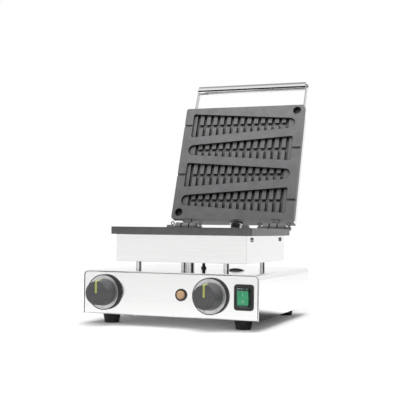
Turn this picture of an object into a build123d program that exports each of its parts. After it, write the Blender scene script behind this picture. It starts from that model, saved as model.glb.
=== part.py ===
from build123d import *
import os
from math import asin, atan2, cos, hypot, pi, radians, sin

os.makedirs("parts", exist_ok=True)

# A countertop lollipop waffle maker: a steel base casing with the controls on its front, a heater
# housing on four pillars, and two cast baking plates joined at a rear hinge. It is drawn with the lid
# open, leaning back on the heels of its hinge lugs. X runs to the right, Y to the back, Z up.

# Base casing, of bent stainless sheet
base_width = 305.0
base_depth = 330.0
base_height = 71.6
casing_sheet = 1.2
casing_bend = 8.5
casing_lip = 15.0
panel_bend = 2.2
panel_return = 14.0
casing_gap = 0.3
casing_screw_radius = 2.0
casing_screw_head_radius = 3.8
casing_screw_head_height = 1.0
casing_screw_length = 9.0
casing_screw_side_step = 90.0
casing_screw_end_step = 60.0
screw_clearance = 0.15

# Feet
foot_height = 17.0
foot_top_radius = 15.2
foot_bottom_radius = 12.0
foot_recess_radius = 6.0
foot_recess_depth = 8.0
foot_spacing_x = 233.0
foot_spacing_y = 259.0
foot_screw_radius = 2.5
foot_screw_head_radius = 4.6
foot_screw_head_height = 3.2
foot_screw_end = 4.0

# Pillars and what stands between the casing and the lower housing
pillar_height = 14.4
pillar_radius = 4.65
pillar_spacing_x = 157.6
pillar_front = 106.0
pillar_rear = 102.0
pillar_screw_radius = 2.5
pillar_head_radius = 4.4
pillar_head_height = 3.0
pillar_nut_flats = 8.0
pillar_nut_height = 4.0
pillar_screw_end = 1.5
wire_sleeve_x = -25.7
wire_sleeve_radius = 7.5
wire_sleeve_neck_radius = 6.5
wire_sleeve_bore_radius = 5.0
wire_sleeve_neck_length = 5.0
probe_sleeve_radius = 2.8
probe_sleeve_bore_radius = 1.5
probe_sleeve_reach = 9.0
probe_nut_flats = 8.6
probe_nut_height = 3.6
probe_nut_chamfer = 0.5
plug_x = 72.0
plug_y = -37.0
plug_radius = 15.0
plug_height = 4.0
plug_rim = 0.8
plug_neck_radius = 12.0
plug_neck_length = 4.0

# Heater housings, two sheet boxes of one size
housing_width = 233.0
housing_depth = 231.5
housing_height = 45.9
housing_sheet = 1.0
housing_setback = 8.3
housing_screw_radius = 2.0
housing_screw_head_radius = 3.75
housing_screw_head_height = 2.4
housing_screw_head_edge = 1.2
housing_screw_length = 10.0
housing_screw_drop = 6.9
lower_screw_places = (35.7, 210.7)
lid_screw_places = (35.7, 172.0)
lug_width = 14.0
lug_thickness = 9.0
lug_height = 13.0
lug_gap = 0.2

# Baking plates, cast. The rear edge is measured back from the middle of the base casing.
plate_width = 251.7
plate_depth = 245.0
plate_thickness = 12.7
plate_corner = 4.5
plate_gap = 0.4
plate_rear = 123.2

# Cavities, the same on both plates, each with 2 rows of teeth
cavity_pitch = 55.1
cavity_first = 40.1
cavity_count = 4
cavity_wide_half = 26.65
cavity_wide_reach = 108.3
cavity_tip_radius = 11.25
cavity_tip_reach = 110.0
cavity_corner = 4.0
tooth_pitch = 14.65
tooth_gap = 6.35
tooth_gap_count = 14
tooth_gap_start = 100.55
tooth_recess = 4.5
channel_depth = 9.5
spine_width = 6.3
stick_slot_radius = 2.7

# Locating studs on the lower plate and their holes in the lid plate
locating_x = 111.4
locating_front = 232.6
locating_rear = 13.9
stud_base_radius = 7.6
stud_top_radius = 5.6
stud_height = 5.0
locating_hole_radius = 8.2
locating_hole_depth = 9.0

# Hinge
hinge_setback = 18.6
hinge_spacing = 180.0
knuckle_radius = 10.0
knuckle_width = 12.0
hinge_lug_width = 13.0
knuckle_gap = 2.5
hinge_arm_depth = 10.0
hinge_arm_drop = 0.8
hinge_arm_root = 2.0
pin_radius = 4.0
pin_overhang = 12.0
pin_chamfer = 0.6
pin_fit = 0.05
lug_fit = 0.09
heel_height = 8.0
heel_gap = 0.3
split_pin_radius = 1.1
split_pin_fit = 0.1
split_pin_inset = 4.0
split_pin_tail = 3.0
split_pin_eye = 3.0
lid_open_angle = 109.4

# Lid handle
handle_along = 304.46
handle_behind = 33.28
handle_radius = 9.5
handle_wall = 1.5
handle_plug_length = 12.0
arm_length = 109.3
arm_lean = 4.2
arm_width = 11.0
arm_thickness = 2.0
arm_clearance = 0.1
arm_screw_radius = 2.0
arm_screw_head_radius = 3.6
arm_screw_head_height = 2.2
arm_screw_length = 9.0
arm_screw_steps = (8.0, 30.0)

# Heaters, their clamps and the insulation
heater_radius = 4.0
heater_gap = 0.2
heater_span = 95.0
heater_inner = 32.0
heater_front = 212.0
heater_back = 24.0
heater_middle = 62.0
heater_bend = 18.0
clamp_length = 216.0
clamp_width = 60.0
clamp_thickness = 2.0
clamp_boss_radius = 8.0
clamp_screw_radius = 3.0
clamp_screw_flats = 10.0
clamp_screw_head_height = 4.0
clamp_screw_length = 10.0
clamp_screw_end_gap = 1.0
pad_width = 200.0
pad_depth = 180.0
pad_thickness = 24.0
pad_gap = 0.3
pad_hole_radius = 9.0
pad_corner = 6.0

# Front controls, placed from the casing's centre and its lower edge
timer_x = -112.5
thermostat_x = 73.3
lamp_x = 23.0
switch_x = 128.0
control_height = 36.3
bezel_radius = 29.1
bezel_width = 3.0
bezel_height = 7.5
bezel_rim = 1.2
bezel_edge = 0.6
scale_thickness = 1.0
scale_gap = 0.2
scale_drop = 0.5
knob_base_radius = 22.0
knob_face_radius = 19.2
knob_reach = 33.0
knob_foot_gap = 0.8
knob_edge = 1.6
shaft_radius = 3.0
shaft_flat = 0.6
shaft_length = 22.0
shaft_fit = 0.05
shaft_end_gap = 0.5
bush_radius = 5.0
bush_length = 7.0
control_nut_flats = 14.0
control_nut_height = 2.6
pointer_width = 3.4
pointer_depth = 1.2
pointer_fit = 0.05
timer_body_size = 44.0
timer_body_depth = 38.0
thermostat_body_width = 40.0
thermostat_body_height = 34.0
thermostat_body_depth = 30.0
control_body_corner = 3.0

# Pilot lamp
lamp_bezel_radius = 10.0
lamp_bezel_height = 3.0
lamp_lens_radius = 7.0
lamp_lens_height = 5.0
lamp_neck_radius = 8.0
lamp_body_length = 30.0
lamp_bezel_edge = 1.6
lamp_lens_edge = 2.4

# Rocker switch with its splash boot
switch_frame_width = 32.0
switch_frame_height = 41.0
switch_frame_corner = 5.0
switch_frame_thickness = 2.5
switch_frame_edge = 1.1
switch_neck_wall = 1.8
switch_neck_length = 9.0
rocker_width = 18.0
rocker_height = 22.0
rocker_side_gap = 0.4
rocker_end_gap = 0.8
rocker_reach = 6.5
rocker_root = 4.0
rocker_tilt = 6.0
rocker_pivot_radius = 1.5
rocker_pivot_fit = 0.08
rocker_pivot_inset = 0.3
boot_width = 22.0
boot_height = 30.0
boot_reach = 10.0
boot_wall = 0.9
boot_corner = 3.0
boot_edge = 1.4
switch_body_depth = 22.0

# Lead between the housings, and its glands
lead_radius = 4.5
lower_gland_x = -75.0
lower_gland_drop = 43.0
lid_gland_behind = 36.0
gland_flats = 24.0
gland_nut_height = 6.0
gland_body_radius = 10.0
gland_body_length = 12.0
gland_neck_radius = 8.0
gland_neck_length = 7.0
gland_edge = 2.0
gland_seat = 1.0
lead_step = 46.0

# Mains gland, terminal block, vents and capillary
mains_x = 110.0
mains_height = 24.0
mains_bore_radius = 4.6
mains_body_radius = 8.0
mains_flange_radius = 11.0
mains_flange_thickness = 2.5
mains_reach_out = 12.0
mains_reach_in = 8.0
mains_edge = 1.5
terminal_size = (60.0, 20.0, 16.0)
terminal_pitch = (10.0, 12.0)
terminal_count = (5, 2)
terminal_hole_radius = 2.2
terminal_hole_depth = 6.0
terminal_x = 70.0
terminal_y = 110.0
vent_length = 26.0
vent_width = 3.2
vent_pitch = 8.0
vent_count = 12
vent_x = -30.0
floor_vent_pitch = (16.0, 60.0)
floor_vent_count = (8, 2)
bulb_radius = 3.0
bulb_length = 70.0
bulb_x = 12.0
bulb_back_step = 20.0
capillary_radius = 0.9
capillary_step = 22.0
capillary_lift = 3.2
capillary_low = 66.0
capillary_turn = 60.0
capillary_bend = 9.0

# Levels and the hinge, worked out from the sizes above
base_bottom = foot_height
base_top = base_bottom + base_height
housing_bottom = base_top + pillar_height
plate_bottom = housing_bottom + housing_height
plate_top = plate_bottom + plate_thickness
axis_height = plate_top + plate_gap / 2
control_level = base_bottom + control_height

# The hinge axis, behind the middle of the base casing
axis_behind = plate_rear + hinge_setback

# The lid's face: its hinge-side edge and its two directions, at the open angle
opening = radians(lid_open_angle)
along_y = -cos(opening)
along_z = sin(opening)
handle_turn = (hinge_setback + handle_along, handle_behind + plate_gap / 2)
handle_rear = (
    axis_behind + handle_turn[0] * along_y + handle_turn[1] * along_z + handle_radius
)

# The origin is under the middle of the whole object, so the casing's centre stands forward of it
front_reach = base_depth / 2 + knob_reach
base_y = (front_reach - handle_rear) / 2
panel_front = base_y - base_depth / 2
panel_back = base_y + base_depth / 2
axis_y = base_y + axis_behind
lid_edge_y = axis_y + hinge_setback * along_y + plate_gap / 2 * along_z
lid_edge_z = axis_height + hinge_setback * along_z - plate_gap / 2 * along_y

# Working planes. On both faces x runs across, y away from the hinge and z out of the plate.
lower_face = Plane(
    origin=(0, base_y + plate_rear, plate_top), x_dir=(-1, 0, 0), z_dir=(0, 0, 1)
)
lid_face = Plane(
    origin=(0, lid_edge_y, lid_edge_z), x_dir=(1, 0, 0), z_dir=(0, -along_z, along_y)
)
front_plane = Plane(
    origin=(0, panel_front, control_level), x_dir=(1, 0, 0), z_dir=(0, -1, 0)
)
rear_plane = Plane(
    origin=(0, panel_back, base_bottom), x_dir=(-1, 0, 0), z_dir=(0, 1, 0)
)


def placed(plane, x=0.0, y=0.0, z=0.0, turn=(0, 0, 0)):
    """A plane moved and turned inside another plane."""
    return Plane(plane.location * Location((x, y, z), turn))


def save(shape, label):
    """Labels one finished piece and writes its file."""
    shape.label = label
    export_step(shape, "parts/" + label + ".step")


# Base casing

casing_half = base_width / 2
inner_half = casing_half - casing_sheet - casing_gap
lip_length = base_depth - 2 * (panel_return + casing_gap)
pillar_places = [
    (x, y)
    for x in (-pillar_spacing_x / 2, pillar_spacing_x / 2)
    for y in (base_y - pillar_front, base_y + pillar_rear)
]
pillar_hole = pillar_screw_radius + screw_clearance
casing_screw_hole = casing_screw_radius + screw_clearance
floor_half = inner_half - casing_sheet - casing_gap
floor_depth = base_depth - 2 * (casing_sheet + panel_bend)
lip_screw_x = casing_half - casing_lip / 2 - casing_sheet
end_screw_y = base_depth / 2 - panel_return / 2 - casing_sheet
lip_screw_places = [
    (x, base_y + y)
    for x in (-lip_screw_x, lip_screw_x)
    for y in (-casing_screw_side_step, casing_screw_side_step)
]
end_screw_places = [
    (x, base_y + y)
    for x in (-casing_screw_end_step, casing_screw_end_step)
    for y in (-end_screw_y, end_screw_y)
]
floor_screw_places = lip_screw_places + end_screw_places

with BuildPart() as base_cover:
    with BuildSketch(Plane.XZ.offset(-panel_back)) as cover_outline:
        with Locations((0, base_bottom + base_height / 2)):
            Rectangle(base_width, base_height)
        fillet(cover_outline.vertices().group_by(Axis.Y)[-1], casing_bend)
    extrude(amount=base_depth)
    with BuildSketch(Plane.XZ.offset(-panel_back)) as cover_inside:
        with Locations((0, base_bottom + (base_height - casing_sheet) / 2)):
            Rectangle(base_width - 2 * casing_sheet, base_height - casing_sheet)
        fillet(
            cover_inside.vertices().group_by(Axis.Y)[-1], casing_bend - casing_sheet
        )
    extrude(amount=base_depth, mode=Mode.SUBTRACT)
    for side in (-1, 1):
        lip_x = side * (casing_half - casing_lip / 2)
        with BuildSketch(Plane.XY.offset(base_bottom)):
            with Locations((lip_x, base_y)):
                Rectangle(casing_lip, lip_length)
        extrude(amount=casing_sheet)
    with BuildSketch(Plane.XY.offset(base_top)):
        with Locations(*pillar_places):
            Circle(pillar_hole)
        with Locations((wire_sleeve_x, base_y)):
            Circle(wire_sleeve_neck_radius + screw_clearance)
        with Locations((0, base_y)):
            Circle(probe_sleeve_radius + screw_clearance)
        with Locations((plug_x, base_y + plug_y)):
            Circle(plug_neck_radius + screw_clearance)
    extrude(amount=-2 * casing_sheet, mode=Mode.SUBTRACT)
    with BuildSketch(Plane.XY.offset(base_bottom)):
        with Locations(*lip_screw_places):
            Circle(casing_screw_hole)
    extrude(amount=2 * casing_sheet, mode=Mode.SUBTRACT)
save(base_cover.part, "base_cover")


def end_panel(plane, cutouts):
    """A shallow pan that closes one end of the casing, its rim turned inward."""
    with BuildPart() as pan:
        with BuildSketch(plane) as outline:
            with Locations((0, (base_height - casing_sheet - casing_gap) / 2)):
                Rectangle(2 * inner_half, base_height - casing_sheet - casing_gap)
            corner = casing_bend - casing_sheet - casing_gap
            fillet(outline.vertices().group_by(Axis.Y)[-1], corner)
        extrude(amount=-panel_return)
        front_edges = pan.faces().sort_by(Axis(plane.origin, plane.z_dir))[-1].edges()
        fillet(front_edges, panel_bend)
        back_face = pan.faces().sort_by(Axis(plane.origin, plane.z_dir))[0]
        offset(amount=-casing_sheet, openings=back_face)
        with BuildSketch(plane):
            add(cutouts)
        extrude(amount=-2 * casing_sheet, mode=Mode.SUBTRACT)
        with BuildSketch(Plane.XY.offset(base_bottom)):
            with Locations(*end_screw_places):
                Circle(casing_screw_hole)
        extrude(amount=2 * casing_sheet, mode=Mode.SUBTRACT)
    return pan.part


neck_width = rocker_width + 2 * (rocker_side_gap + switch_neck_wall)
neck_height = rocker_height + 2 * (rocker_end_gap + switch_neck_wall)
panel_plane = placed(front_plane, 0, -control_height, 0)
with BuildSketch(Plane.XY) as front_cutouts:
    with Locations((timer_x, control_height), (thermostat_x, control_height)):
        Circle(bush_radius + screw_clearance)
    with Locations((lamp_x, control_height)):
        Circle(lamp_neck_radius + screw_clearance)
    with Locations((switch_x, control_height)):
        Rectangle(neck_width + 2 * screw_clearance, neck_height + 2 * screw_clearance)
with BuildSketch(Plane.XY) as rear_cutouts:
    with Locations((-mains_x, mains_height)):
        Circle(mains_body_radius + screw_clearance)
    with Locations((-vent_x, base_height / 2)):
        with GridLocations(vent_pitch, 0, vent_count, 1):
            SlotOverall(vent_length, vent_width, rotation=90)

save(end_panel(panel_plane, front_cutouts.sketch), "front_panel")
save(end_panel(rear_plane, rear_cutouts.sketch), "rear_panel")

foot_places = [
    (x, base_y + y)
    for x in (-foot_spacing_x / 2, foot_spacing_x / 2)
    for y in (-foot_spacing_y / 2, foot_spacing_y / 2)
]
floor_bottom = base_bottom + casing_sheet
floor_top = floor_bottom + casing_sheet

with BuildPart() as bottom_plate:
    with BuildSketch(Plane.XY.offset(floor_bottom)):
        with Locations((0, base_y)):
            Rectangle(2 * floor_half, floor_depth)
        with Locations(*foot_places):
            Circle(foot_screw_radius + screw_clearance, mode=Mode.SUBTRACT)
        with Locations(*floor_screw_places):
            Circle(casing_screw_hole, mode=Mode.SUBTRACT)
        with Locations((0, base_y)):
            with GridLocations(*floor_vent_pitch, *floor_vent_count):
                SlotOverall(vent_length, vent_width, rotation=90, mode=Mode.SUBTRACT)
    extrude(amount=casing_sheet)
save(bottom_plate.part, "bottom_plate")

with BuildPart() as bottom_screws:
    with BuildSketch(Plane.XY.offset(base_bottom)):
        with Locations(*floor_screw_places):
            Circle(casing_screw_head_radius)
    extrude(amount=-casing_screw_head_height)
    with BuildSketch(Plane.XY.offset(base_bottom)):
        with Locations(*floor_screw_places):
            Circle(casing_screw_radius)
    extrude(amount=casing_screw_length)
save(bottom_screws.part, "bottom_screws")

# Feet

with BuildPart() as rubber_feet:
    for place in foot_places:
        with BuildSketch(Plane(origin=(place[0], place[1], 0))):
            Circle(foot_bottom_radius)
        with BuildSketch(Plane(origin=(place[0], place[1], foot_height))):
            Circle(foot_top_radius)
        loft()
    with BuildSketch(Plane.XY.offset(foot_height)):
        with Locations(*foot_places):
            Circle(foot_top_radius)
    extrude(amount=casing_sheet)
    with BuildSketch():
        with Locations(*foot_places):
            Circle(foot_recess_radius)
    extrude(amount=foot_recess_depth, mode=Mode.SUBTRACT)
    with BuildSketch():
        with Locations(*foot_places):
            Circle(foot_screw_radius + screw_clearance)
    extrude(amount=floor_bottom, mode=Mode.SUBTRACT)
save(rubber_feet.part, "rubber_feet")

with BuildPart() as foot_screws:
    with BuildSketch(Plane.XY.offset(foot_recess_depth)):
        with Locations(*foot_places):
            Circle(foot_screw_head_radius)
    extrude(amount=-foot_screw_head_height)
    with BuildSketch(Plane.XY.offset(foot_recess_depth)):
        with Locations(*foot_places):
            Circle(foot_screw_radius)
    extrude(amount=floor_top + foot_screw_end - foot_recess_depth)
save(foot_screws.part, "foot_screws")

# Pillars, sleeves and plug between the casing and the lower housing

with BuildPart() as support_pillars:
    with BuildSketch(Plane.XY.offset(base_top)):
        with Locations(*pillar_places):
            Circle(pillar_radius)
            Circle(pillar_hole, mode=Mode.SUBTRACT)
    extrude(amount=pillar_height)
save(support_pillars.part, "support_pillars")

pillar_screw_bottom = base_top - casing_sheet
pillar_nut_bottom = housing_bottom + housing_sheet
with BuildPart() as pillar_screws:
    with BuildSketch(Plane.XY.offset(pillar_screw_bottom)):
        with Locations(*pillar_places):
            Circle(pillar_head_radius)
    extrude(amount=-pillar_head_height)
    with BuildSketch(Plane.XY.offset(pillar_screw_bottom)):
        with Locations(*pillar_places):
            Circle(pillar_screw_radius)
    pillar_screw_top = pillar_nut_bottom + pillar_nut_height + pillar_screw_end
    extrude(amount=pillar_screw_top - pillar_screw_bottom)
save(pillar_screws.part, "pillar_screws")

with BuildPart() as pillar_nuts:
    with BuildSketch(Plane.XY.offset(pillar_nut_bottom)):
        with Locations(*pillar_places):
            RegularPolygon(pillar_nut_flats / 2, 6, major_radius=False)
            Circle(pillar_screw_radius + pin_fit, mode=Mode.SUBTRACT)
    extrude(amount=pillar_nut_height)
save(pillar_nuts.part, "pillar_nuts")

wire_sleeve_low = base_top - wire_sleeve_neck_length
wire_sleeve_full = pillar_height + 2 * wire_sleeve_neck_length
with BuildPart() as wire_sleeve:
    with BuildSketch(Plane.XY.offset(base_top)):
        with Locations((wire_sleeve_x, base_y)):
            Circle(wire_sleeve_radius)
    extrude(amount=pillar_height)
    with BuildSketch(Plane.XY.offset(wire_sleeve_low)):
        with Locations((wire_sleeve_x, base_y)):
            Circle(wire_sleeve_neck_radius)
    extrude(amount=wire_sleeve_full)
    with BuildSketch(Plane.XY.offset(wire_sleeve_low)):
        with Locations((wire_sleeve_x, base_y)):
            Circle(wire_sleeve_bore_radius)
    extrude(amount=wire_sleeve_full, mode=Mode.SUBTRACT)
save(wire_sleeve.part, "wire_sleeve")

with BuildPart() as probe_sleeve:
    with BuildSketch(Plane.XY.offset(base_top - probe_sleeve_reach)):
        with Locations((0, base_y)):
            Circle(probe_sleeve_radius)
            Circle(probe_sleeve_bore_radius, mode=Mode.SUBTRACT)
    extrude(amount=pillar_height + 2 * probe_sleeve_reach)
save(probe_sleeve.part, "probe_sleeve")

with BuildPart() as probe_nut:
    with BuildSketch(Plane.XY.offset(base_top)):
        with Locations((0, base_y)):
            RegularPolygon(probe_nut_flats / 2, 6, major_radius=False)
            Circle(probe_sleeve_radius + pin_fit, mode=Mode.SUBTRACT)
    extrude(amount=probe_nut_height)
    chamfer(probe_nut.faces().sort_by(Axis.Z)[-1].outer_wire().edges(), probe_nut_chamfer)
save(probe_nut.part, "probe_nut")

plug_crown = (plug_x, base_top + plug_height)
plug_outer = (plug_x + plug_radius, base_top + plug_rim)
with BuildPart() as vent_plug:
    with BuildSketch(Plane.XZ.offset(-(base_y + plug_y))):
        with BuildLine():
            TangentArc(plug_crown, plug_outer, tangent=(1, 0))
            Polyline(
                plug_outer, (plug_x + plug_radius, base_top), (plug_x, base_top), plug_crown
            )
        make_face()
    revolve(axis=Axis((plug_x, base_y + plug_y, 0), (0, 0, 1)))
    with BuildSketch(Plane.XY.offset(base_top)):
        with Locations((plug_x, base_y + plug_y)):
            Circle(plug_neck_radius)
    extrude(amount=-plug_neck_length)
save(vent_plug.part, "vent_plug")

# Heater housings. On each face plane the hinge side is y = 0 and the plate lies below z = 0.

housing_near = housing_setback
housing_far = housing_setback + housing_depth
housing_middle = (housing_near + housing_far) / 2
housing_floor = -plate_thickness - housing_height
screw_drop = -plate_thickness - housing_screw_drop
housing_screw_hole = housing_screw_radius + screw_clearance


def housing(face, screw_places):
    """A sheet box, open towards its plate, with the holes of the plate's fixing screws."""
    with BuildPart() as box:
        with BuildSketch(face.offset(-plate_thickness)):
            with Locations((0, housing_middle)):
                Rectangle(housing_width, housing_depth)
        extrude(amount=-housing_height)
        with BuildSketch(face.offset(-plate_thickness)):
            with Locations((0, housing_middle)):
                Rectangle(
                    housing_width - 2 * housing_sheet, housing_depth - 2 * housing_sheet
                )
        extrude(amount=-(housing_height - housing_sheet), mode=Mode.SUBTRACT)
        with BuildSketch(placed(face, 0, 0, screw_drop, (0, 90, 0))):
            with Locations(*[(0, place) for place in screw_places]):
                Circle(housing_screw_hole)
        extrude(amount=housing_width, both=True, mode=Mode.SUBTRACT)
    return box.part


def housing_screws(face, screw_places):
    """The round-headed screws through both side walls into the plate's lugs."""
    with BuildPart() as screws:
        for side in (-1, 1):
            wall = placed(face, side * housing_width / 2, 0, screw_drop, (0, side * 90, 0))
            with BuildSketch(wall):
                with Locations(*[(0, place) for place in screw_places]):
                    Circle(housing_screw_head_radius)
            extrude(amount=housing_screw_head_height)
            with BuildSketch(wall):
                with Locations(*[(0, place) for place in screw_places]):
                    Circle(housing_screw_radius)
            extrude(amount=-housing_screw_length)
        ends = screws.faces().filter_by(GeomType.PLANE).group_by(Axis.X)
        fillet(ends[0].edges() + ends[-1].edges(), housing_screw_head_edge)
    return screws.part


gland_hole = gland_neck_radius + screw_clearance
lower_gland_plane = placed(
    lower_face, -lower_gland_x, housing_near, -lower_gland_drop, (90, 0, 0)
)
lid_gland_plane = placed(lid_face, 0, housing_near, -lid_gland_behind, (90, 0, 0))

with BuildPart() as lower_housing:
    add(housing(lower_face, lower_screw_places))
    with BuildSketch(Plane.XY.offset(housing_bottom)):
        with Locations(*pillar_places):
            Circle(pillar_hole)
        with Locations((wire_sleeve_x, base_y)):
            Circle(wire_sleeve_neck_radius + screw_clearance)
        with Locations((0, base_y)):
            Circle(probe_sleeve_radius + screw_clearance)
    extrude(amount=2 * housing_sheet, mode=Mode.SUBTRACT)
    with BuildSketch(lower_gland_plane):
        Circle(gland_hole)
    extrude(amount=-2 * housing_sheet, mode=Mode.SUBTRACT)
save(lower_housing.part, "lower_housing")

# The handle's arms lie on the lid housing's side walls and lean away from the plate
arm_turn = radians(arm_lean)
arm_screw_points = [
    (
        handle_along - (arm_length - step) * cos(arm_turn),
        handle_behind - (arm_length - step) * sin(arm_turn),
    )
    for step in arm_screw_steps
]

with BuildPart() as lid_housing:
    add(housing(lid_face, lid_screw_places))
    with BuildSketch(placed(lid_face, 0, 0, 0, (0, 90, 0))):
        with Locations(*[(behind, along) for along, behind in arm_screw_points]):
            Circle(arm_screw_radius + screw_clearance)
    extrude(amount=housing_width, both=True, mode=Mode.SUBTRACT)
    with BuildSketch(lid_gland_plane):
        Circle(gland_hole)
    extrude(amount=-2 * housing_sheet, mode=Mode.SUBTRACT)
save(lid_housing.part, "lid_housing")

save(housing_screws(lower_face, lower_screw_places), "lower_housing_screws")
save(housing_screws(lid_face, lid_screw_places), "lid_housing_screws")

# Baking plates

cavity_length = cavity_wide_reach + cavity_tip_reach - cavity_tip_radius
side_lean = atan2(cavity_wide_half, cavity_length) - asin(
    cavity_tip_radius / hypot(cavity_wide_half, cavity_length)
)
tip_centre = cavity_tip_reach - cavity_tip_radius
tangent_x = tip_centre + cavity_tip_radius * sin(side_lean)
tangent_y = cavity_tip_radius * cos(side_lean)
comb_length = (tooth_gap_count - 1) * tooth_pitch + tooth_gap
comb_middle = -tooth_gap_start + comb_length / 2

with BuildSketch() as cavity_outline:
    with BuildLine():
        Polyline(
            (tangent_x, tangent_y),
            (-cavity_wide_reach, cavity_wide_half),
            (-cavity_wide_reach, -cavity_wide_half),
            (tangent_x, -tangent_y),
        )
        ThreePointArc(
            (tangent_x, -tangent_y), (cavity_tip_reach, 0), (tangent_x, tangent_y)
        )
    make_face()
    fillet(cavity_outline.vertices().group_by(Axis.X)[0], cavity_corner)

with BuildSketch() as channel_outline:
    add(cavity_outline.sketch)
    with BuildSketch(mode=Mode.INTERSECT):
        with Locations((comb_middle, 0)):
            Rectangle(comb_length, spine_width)
            with GridLocations(tooth_pitch, 0, tooth_gap_count, 1):
                Rectangle(tooth_gap, 3 * cavity_wide_half)


def cavity_places(side):
    """Where each cavity's axis crosses the middle of a plate, and the turn of its wide end."""
    places = []
    for number in range(cavity_count):
        turn = 180 if (number % 2 == 0) == (side > 0) else 0
        along = cavity_first + number * cavity_pitch
        places.append(Location((0, along, 0), (0, 0, turn)))
    return places


def baking_plate(face, side, screw_places):
    """The cast plate with its cavities, stick slots, screw lugs and heater boss."""
    with BuildPart() as plate:
        with BuildSketch(face) as outline:
            with Locations((0, plate_depth / 2)):
                Rectangle(plate_width, plate_depth)
            fillet(outline.vertices(), plate_corner)
        extrude(amount=-plate_thickness)
        with BuildSketch(face):
            with Locations(*cavity_places(side)):
                add(cavity_outline.sketch)
        extrude(amount=-tooth_recess, mode=Mode.SUBTRACT)
        with BuildSketch(face):
            with Locations(*cavity_places(side)):
                add(channel_outline.sketch)
        extrude(amount=-channel_depth, mode=Mode.SUBTRACT)
        for number in range(cavity_count):
            wide = (1 if number % 2 == 0 else -1) * side
            along = cavity_first + number * cavity_pitch
            with BuildSketch(
                placed(face, wide * plate_width / 2, along, 0, (0, wide * 90, 0))
            ):
                Circle(stick_slot_radius)
            slot_length = plate_width / 2 - cavity_wide_reach + stick_slot_radius
            extrude(amount=-slot_length, mode=Mode.SUBTRACT)
        lug_x = housing_width / 2 - housing_sheet - lug_gap - lug_thickness / 2
        with BuildSketch(face.offset(-plate_thickness)):
            for place in screw_places:
                with Locations((-lug_x, place), (lug_x, place)):
                    Rectangle(lug_thickness, lug_width)
        extrude(amount=-lug_height)
        with BuildSketch(placed(face, 0, 0, screw_drop, (0, 90, 0))):
            with Locations(*[(0, place) for place in screw_places]):
                Circle(housing_screw_radius + pin_fit)
        extrude(amount=housing_width / 2, both=True, mode=Mode.SUBTRACT)
        with BuildSketch(face.offset(-plate_thickness)):
            with Locations((0, plate_depth / 2)):
                Circle(clamp_boss_radius)
        extrude(amount=-(2 * heater_radius + 2 * heater_gap))
        with BuildSketch(face.offset(-plate_thickness - 2 * (heater_radius + heater_gap))):
            with Locations((0, plate_depth / 2)):
                Circle(clamp_screw_radius + pin_fit)
        extrude(amount=clamp_screw_length, mode=Mode.SUBTRACT)
    return plate.part


def hinge_block(face, x, width, bore):
    """One hinge knuckle with the arm that joins it to its plate."""
    with BuildPart() as block:
        start = placed(face, x + width / 2, -hinge_setback, plate_gap / 2, (0, 90, 0))
        with BuildSketch(start):
            Circle(knuckle_radius)
        extrude(amount=-width)
        arm_low = face.offset(-hinge_arm_drop)
        with BuildSketch(arm_low):
            with Locations((x, (hinge_arm_root - hinge_setback) / 2)):
                Rectangle(width, hinge_setback + hinge_arm_root)
        extrude(amount=-hinge_arm_depth)
        with BuildSketch(start):
            Circle(bore)
        extrude(amount=-width, mode=Mode.SUBTRACT)
    return block.part


knuckle_step = (hinge_lug_width + knuckle_width) / 2 + knuckle_gap
hinge_places = (-hinge_spacing / 2, hinge_spacing / 2)
locating_places = ((locating_x, locating_front), (-locating_x, locating_rear))

with BuildPart() as lower_plate:
    add(baking_plate(lower_face, -1, lower_screw_places))
    for place in hinge_places:
        for step in (-knuckle_step, knuckle_step):
            add(hinge_block(lower_face, place + step, knuckle_width, pin_radius + pin_fit))
    for x, along in locating_places:
        with BuildSketch(placed(lower_face, -x, along, 0)):
            Circle(stud_base_radius)
        with BuildSketch(placed(lower_face, -x, along, stud_height)):
            Circle(stud_top_radius)
        loft()
save(lower_plate.part, "lower_plate")

with BuildPart() as lid_plate:
    add(baking_plate(lid_face, 1, lid_screw_places))
    for place in hinge_places:
        add(hinge_block(lid_face, place, hinge_lug_width, pin_radius + lug_fit))
        heel_front = base_y + plate_rear + heel_gap
        heel_y = (heel_front + axis_y) / 2
        with BuildSketch(Plane.YZ.offset(place - hinge_lug_width / 2)):
            with Locations((heel_y, axis_height - heel_height / 2)):
                Rectangle(axis_y - heel_front, heel_height)
            with Locations((axis_y, axis_height)):
                Circle(pin_radius + lug_fit, mode=Mode.SUBTRACT)
        extrude(amount=hinge_lug_width)
    with BuildSketch(lid_face):
        with Locations(*locating_places):
            Circle(locating_hole_radius)
    extrude(amount=-locating_hole_depth, mode=Mode.SUBTRACT)
save(lid_plate.part, "lid_plate")

# Hinge pins and split pins

pin_half = hinge_lug_width / 2 + knuckle_gap + knuckle_width + pin_overhang
split_places = [
    place + sign * (pin_half - split_pin_inset)
    for place in hinge_places
    for sign in (-1, 1)
]

with BuildPart() as hinge_pins:
    for place in hinge_places:
        with BuildSketch(Plane.YZ.offset(place - pin_half)):
            with Locations((axis_y, axis_height)):
                Circle(pin_radius)
        extrude(amount=2 * pin_half)
    ends = hinge_pins.faces().filter_by(GeomType.PLANE).edges()
    chamfer(ends, pin_chamfer)
    with BuildSketch(Plane.XY.offset(axis_height)):
        with Locations(*[(x, axis_y) for x in split_places]):
            Circle(split_pin_radius + split_pin_fit)
    extrude(amount=2 * pin_radius, both=True, mode=Mode.SUBTRACT)
save(hinge_pins.part, "hinge_pins")

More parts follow.
